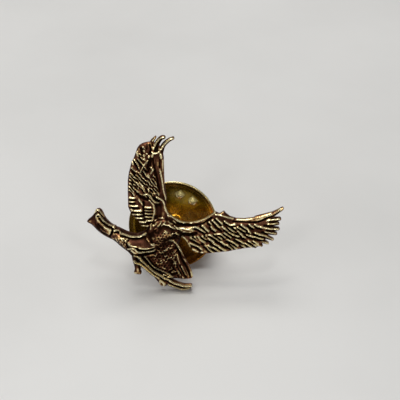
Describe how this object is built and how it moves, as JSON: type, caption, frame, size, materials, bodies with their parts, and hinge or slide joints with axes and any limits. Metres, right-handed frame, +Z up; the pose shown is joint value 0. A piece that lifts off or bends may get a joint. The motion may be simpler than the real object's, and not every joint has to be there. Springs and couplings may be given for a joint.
{
  "type": "lapel pin",
  "caption": "Flying-eagle lapel pin: a flat-backed cast eagle on a tack post, held by a round butterfly clutch with two finger ears.",
  "frame": {"origin": "bottom centre of the whole pin's box, on the table that it lies on", "axes": "+Z up from the table; +X along the wingspan, from the head's side to the swept wing's tips; the eagle's face looks along -Y and up, its normal 23.5 degrees above level"},
  "size_m": [0.0246, 0.0128, 0.0184],
  "materials": {
    "antique_gold": "antique gold plate, polished ridges over dark brown recesses",
    "post_gold": "plain gold plate",
    "solder": "dull solder",
    "amber_brass": "bright rolled brass with an amber lacquer",
    "spring_steel": "drawn spring wire"
  },
  "bodies": {
    "badge": {"eagle_casting": "antique_gold", "pin_post": "post_gold", "post_solder": "solder"},
    "spring": {"grip_spring": "spring_steel"},
    "clutch": {"clutch_disc": "amber_brass", "clutch_cover": "amber_brass"},
    "upper_ear": {"finger_ear_upper": "amber_brass"},
    "lower_ear": {"finger_ear_lower": "amber_brass"}
  },
  "joints": [
    {"name": "clutch_pull_off", "type": "slide", "parent": "badge", "child": "spring", "axis": [0, 0.9171, -0.3987], "range_m": [0, 0.006]},
    {"name": "clutch_turn", "type": "hinge", "parent": "spring", "child": "clutch", "pos_m": [-0.00166, -0.00265, 0.00685], "axis": [0, 0.9171, -0.3987], "continuous": true},
    {"name": "upper_ear_squeeze", "type": "slide", "parent": "clutch", "child": "upper_ear", "axis": [0.891, -0.181, -0.4163], "range_m": [0, 0.0005], "stiffness_N_per_m": 2000},
    {"name": "lower_ear_squeeze", "type": "slide", "parent": "clutch", "child": "lower_ear", "axis": [-0.891, 0.181, 0.4163], "range_m": [0, 0.0005], "stiffness_N_per_m": 2000}
  ],
  "couplings": [
    {"joint": "lower_ear_squeeze", "follows": "upper_ear_squeeze", "ratio": 1}
  ]
}
